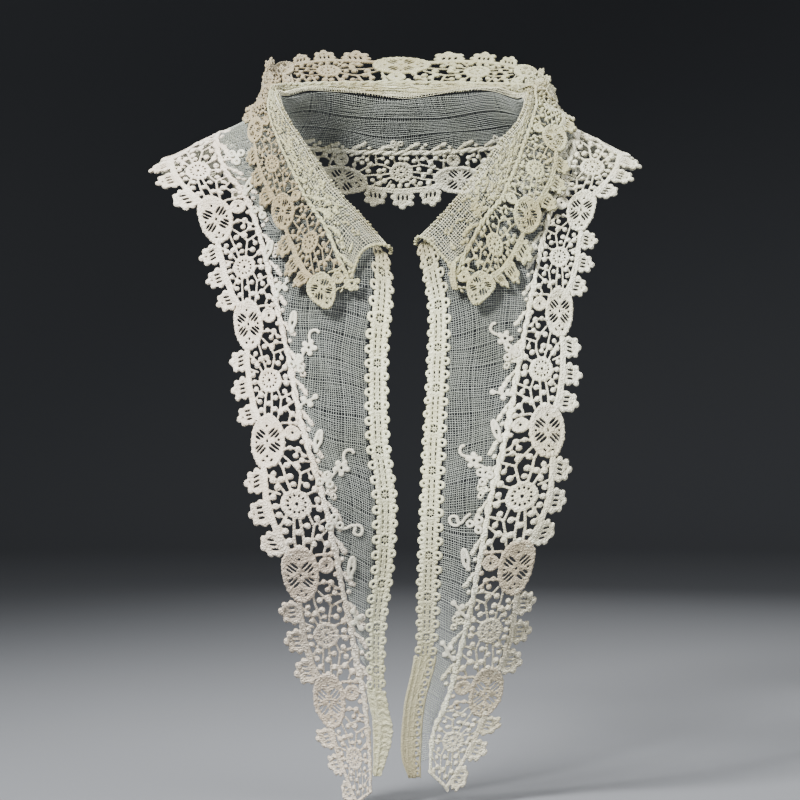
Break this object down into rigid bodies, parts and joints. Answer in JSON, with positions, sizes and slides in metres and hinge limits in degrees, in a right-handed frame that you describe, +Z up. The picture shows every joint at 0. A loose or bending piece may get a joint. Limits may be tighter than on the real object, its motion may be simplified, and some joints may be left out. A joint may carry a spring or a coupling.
{
  "type": "detachable lace collar",
  "caption": "Worn net collar with two long tapering fronts, a turned-down fall at the neck, scalloped guipure borders and ring edging.",
  "frame": {"origin": "middle of the neck at the height where the collar meets the sides of the neck", "axes": "+Z up along the neck, +X to the viewer's right, -Y towards the front opening"},
  "size_m": [0.2797, 0.2315, 0.4369],
  "materials": {
    "net": "fine cotton net",
    "lace": "cream cotton guipure lace",
    "edging": "ivory cotton ring edging"
  },
  "bodies": {
    "root": {"net_front_left": "net", "net_front_right": "net", "net_back": "net", "net_fall": "net", "lace_front_left": "lace", "lace_front_right": "lace", "lace_back": "lace", "lace_fall": "lace", "edging_left": "edging", "edging_right": "edging", "fall_rim_left": "edging", "fall_rim_right": "edging"}
  },
  "joints": []
}
